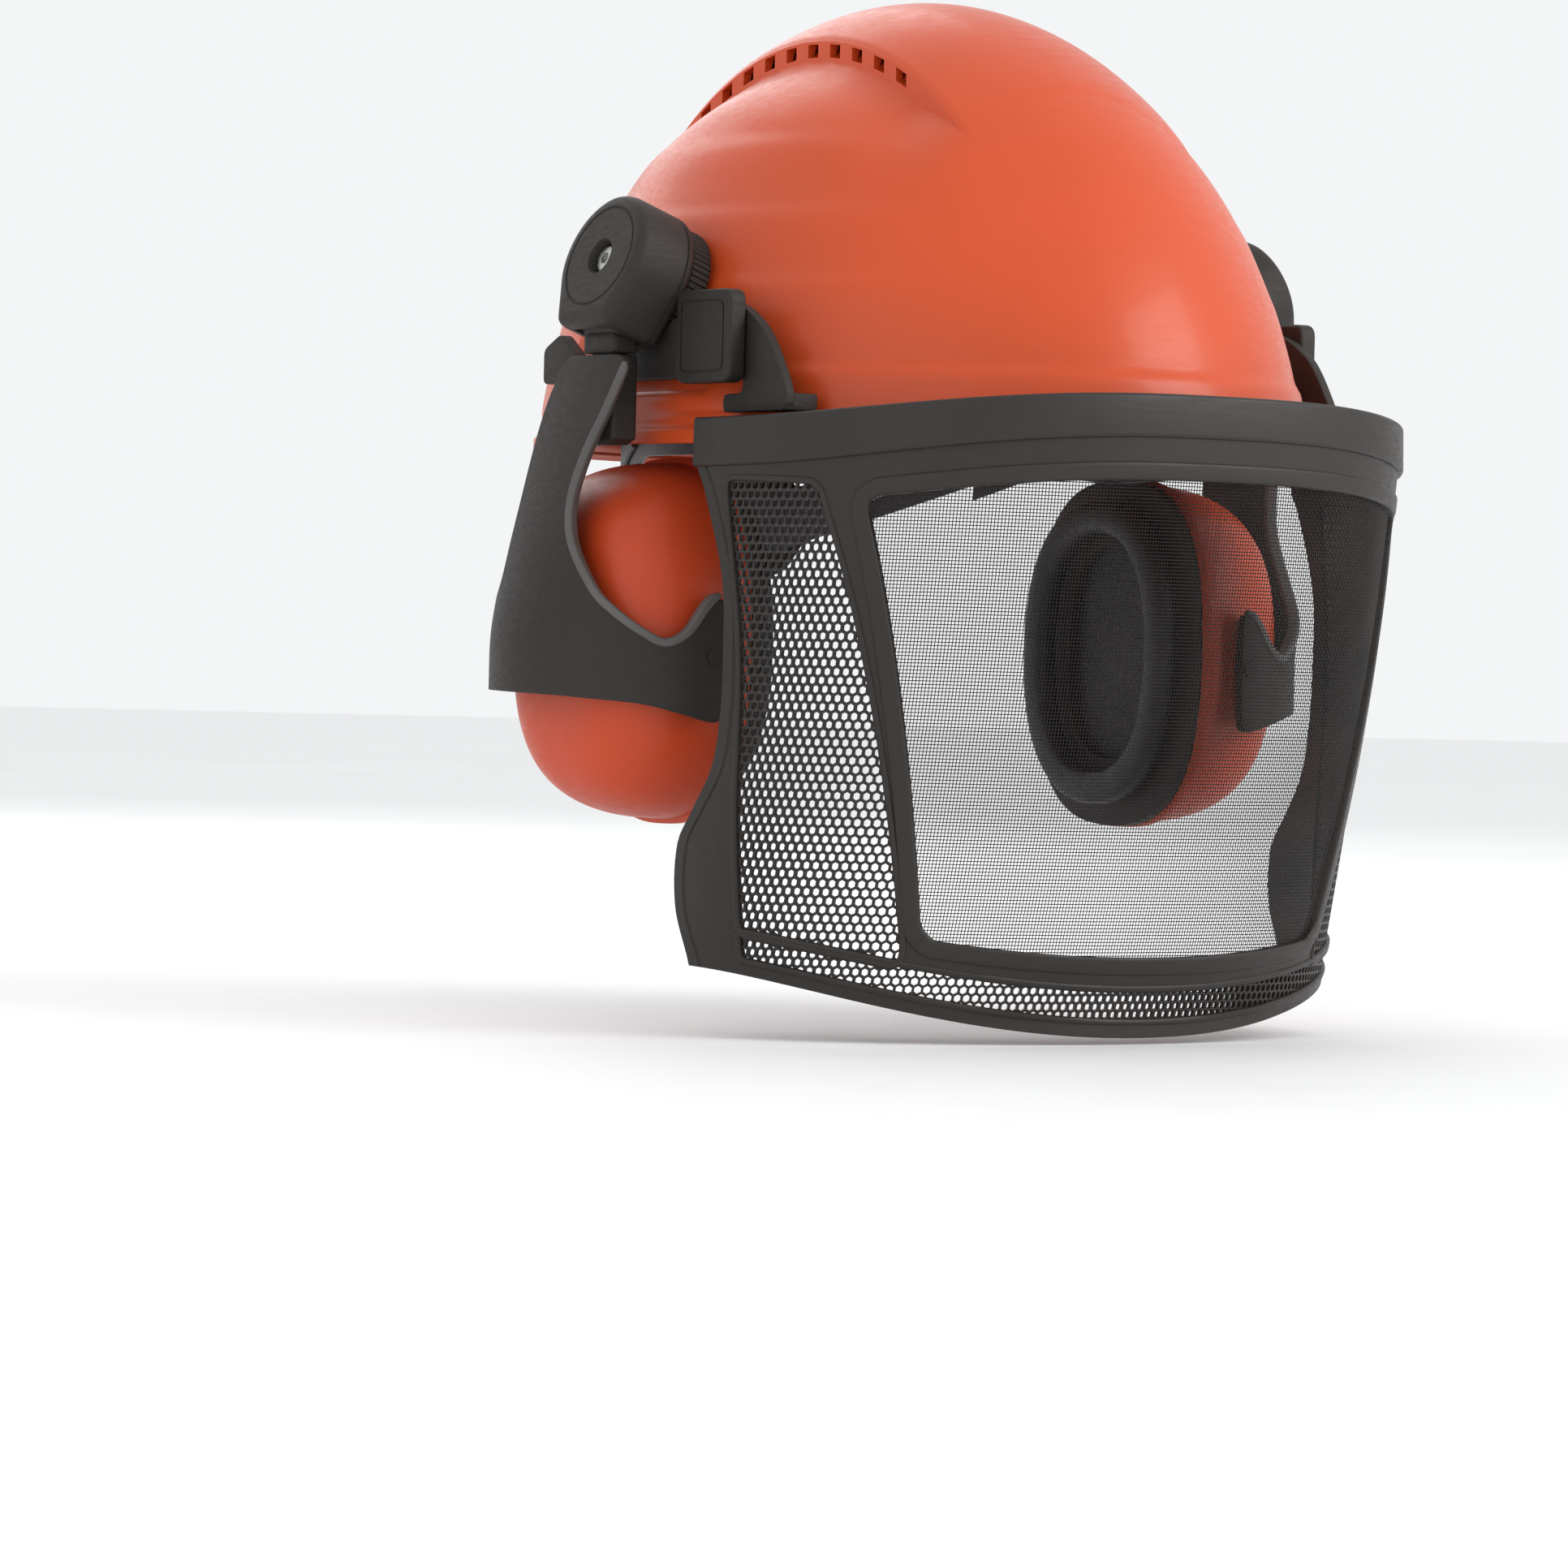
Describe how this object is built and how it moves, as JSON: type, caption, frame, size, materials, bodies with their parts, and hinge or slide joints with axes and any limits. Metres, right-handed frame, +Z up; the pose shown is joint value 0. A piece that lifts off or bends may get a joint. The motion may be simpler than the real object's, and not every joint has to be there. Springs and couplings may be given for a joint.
{
  "type": "forestry helmet",
  "caption": "Hard hat with harness, lift-up mesh visor on side arms and hinged ear muffs on tilted hubs.",
  "frame": {"origin": "on the helmet's vertical axis, inside the headband 6 mm above the shell's rim, where the wearer's head seats", "axes": "+Z up, -Y towards the wearer's front, +X towards the wearer's left"},
  "size_m": [0.28, 0.2868, 0.3065],
  "materials": {
    "shell": "glossy moulded polymer",
    "cup": "satin moulded polymer",
    "black_plastic": "fine-textured moulded nylon",
    "frame_plastic": "satin moulded nylon",
    "mesh": "black coated woven steel wire",
    "steel": "bright zinc plated",
    "foam": "open-cell foam",
    "cushion": "soft coated cushion skin",
    "sweatband": "knitted brow pad",
    "webbing": "woven webbing",
    "harness_plastic": "flexible harness plastic"
  },
  "bodies": {
    "root": {"helmet_shell": "shell", "headband": "harness_plastic", "sweatband": "sweatband", "nape_strap": "harness_plastic", "ratchet_housing": "black_plastic", "crown_strap_front_right": "webbing", "crown_strap_front_left": "webbing", "crown_pad": "foam", "harness_clip_front_right": "harness_plastic", "harness_clip_front_left": "harness_plastic", "harness_clip_rear_left": "harness_plastic", "harness_clip_rear_right": "harness_plastic", "side_bracket_right": "black_plastic", "side_bracket_left": "black_plastic", "visor_block_right": "black_plastic", "visor_block_left": "black_plastic", "visor_pin_right": "steel", "visor_pin_left": "steel", "hub_screw_right": "steel", "hub_screw_left": "steel"},
    "knob": {"ratchet_knob": "black_plastic"},
    "visor": {"visor_arm_right": "black_plastic", "visor_arm_left": "black_plastic", "visor_brim": "frame_plastic", "visor_frame": "frame_plastic", "mesh_screen": "mesh", "side_grille_right": "frame_plastic", "side_grille_left": "frame_plastic", "bottom_grille": "frame_plastic"},
    "hub_right": {"hub_housing_right": "black_plastic", "hub_washer_right": "steel", "fold_pin_right": "steel"},
    "knuckle_right": {"fold_knuckle_right": "black_plastic"},
    "arm_right": {"muff_arm_right": "black_plastic", "cup_pin_front_right": "black_plastic", "cup_pin_rear_right": "black_plastic"},
    "cup_right": {"ear_cup_right": "cup", "cup_backplate_right": "black_plastic", "cup_foam_right": "foam", "ear_cushion_right": "cushion"},
    "hub_left": {"hub_housing_left": "black_plastic", "hub_washer_left": "steel", "fold_pin_left": "steel"},
    "knuckle_left": {"fold_knuckle_left": "black_plastic"},
    "arm_left": {"muff_arm_left": "black_plastic", "cup_pin_front_left": "black_plastic", "cup_pin_rear_left": "black_plastic"},
    "cup_left": {"ear_cup_left": "cup", "cup_backplate_left": "black_plastic", "cup_foam_left": "foam", "ear_cushion_left": "cushion"}
  },
  "joints": [
    {"name": "visor_lift", "type": "hinge", "parent": "root", "child": "visor", "pos_m": [0, -0.044, 0.0245], "axis": [-1, 0, 0], "range_deg": [0, 90]},
    {"name": "ratchet_turn", "type": "hinge", "parent": "root", "child": "knob", "pos_m": [0, 0.115, -0.024], "axis": [0, 1, 0], "continuous": true},
    {"name": "muff_swing_right", "type": "hinge", "parent": "root", "child": "hub_right", "pos_m": [-0.09605, -0.0105, 0.0385], "axis": [-0.9397, 0, 0.342], "range_deg": [-6, 6]},
    {"name": "muff_fold_right", "type": "hinge", "parent": "hub_right", "child": "knuckle_right", "pos_m": [-0.11821, -0.0105, 0.02848], "axis": [0, 1, 0], "range_deg": [0, 30]},
    {"name": "muff_height_right", "type": "slide", "parent": "knuckle_right", "child": "arm_right", "axis": [0, 0, -1], "range_m": [0, 0.012]},
    {"name": "cup_swivel_right", "type": "hinge", "parent": "arm_right", "child": "cup_right", "pos_m": [-0.1, 0.0036, -0.068], "axis": [0, 1, 0], "range_deg": [-6, 6]},
    {"name": "muff_swing_left", "type": "hinge", "parent": "root", "child": "hub_left", "pos_m": [0.09605, -0.0105, 0.0385], "axis": [0.9397, 0, 0.342], "range_deg": [-6, 6]},
    {"name": "muff_fold_left", "type": "hinge", "parent": "hub_left", "child": "knuckle_left", "pos_m": [0.11821, -0.0105, 0.02848], "axis": [0, -1, 0], "range_deg": [0, 30]},
    {"name": "muff_height_left", "type": "slide", "parent": "knuckle_left", "child": "arm_left", "axis": [0, 0, -1], "range_m": [0, 0.012]},
    {"name": "cup_swivel_left", "type": "hinge", "parent": "arm_left", "child": "cup_left", "pos_m": [0.1, 0.0036, -0.068], "axis": [0, 1, 0], "range_deg": [-6, 6]}
  ]
}
